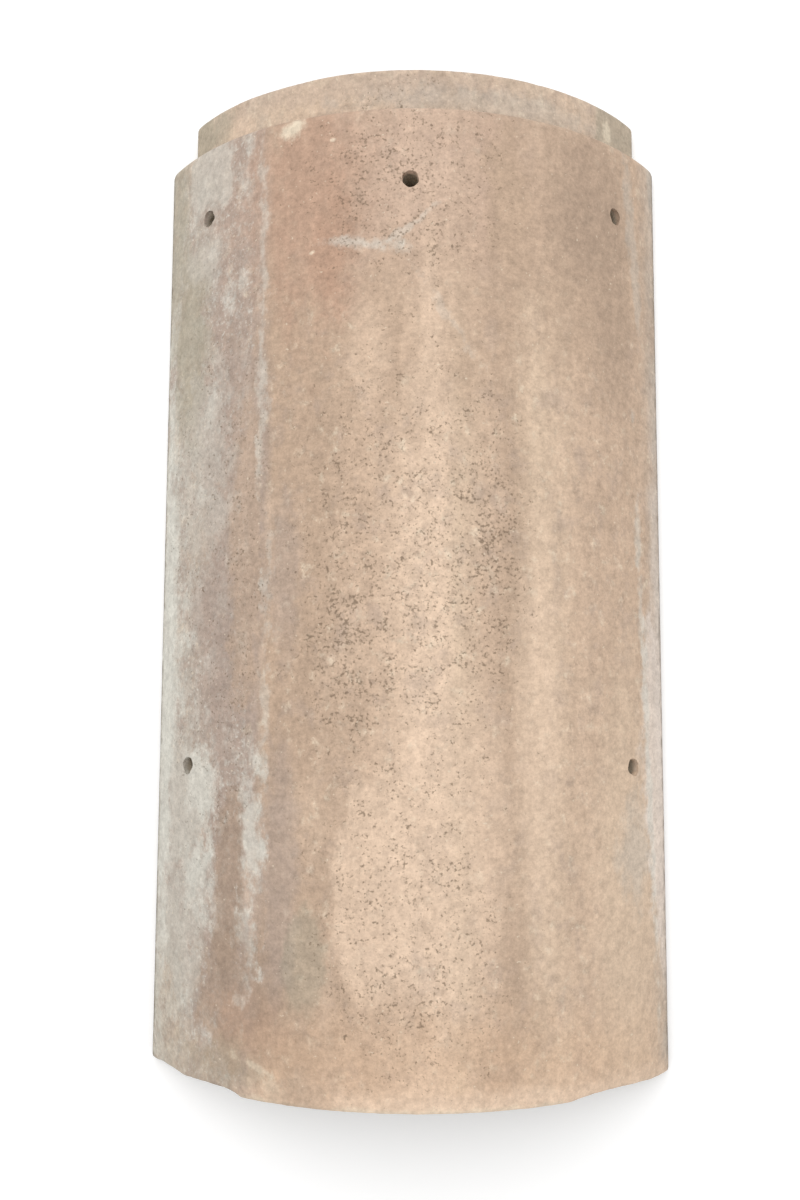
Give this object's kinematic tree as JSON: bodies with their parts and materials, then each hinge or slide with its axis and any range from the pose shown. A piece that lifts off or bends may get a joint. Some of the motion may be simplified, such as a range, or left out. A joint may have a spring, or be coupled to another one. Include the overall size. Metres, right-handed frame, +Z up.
{
  "type": "barrel rake tile",
  "caption": "Shallow arched concrete roof tile with a lowered collar at its head, a socket at its tail and nail holes.",
  "frame": {"origin": "middle of the tile's length and width, on the plane of its two bearing edges", "axes": "+Y along the tile from the tail to the head with its collar, +X across it, +Z up through the crown"},
  "size_m": [0.228, 0.432, 0.065],
  "materials": {
    "concrete": "matte pigmented concrete, weathered, with pits and lime bloom"
  },
  "bodies": {
    "root": {"barrel_rake_tile": "concrete"}
  },
  "joints": []
}
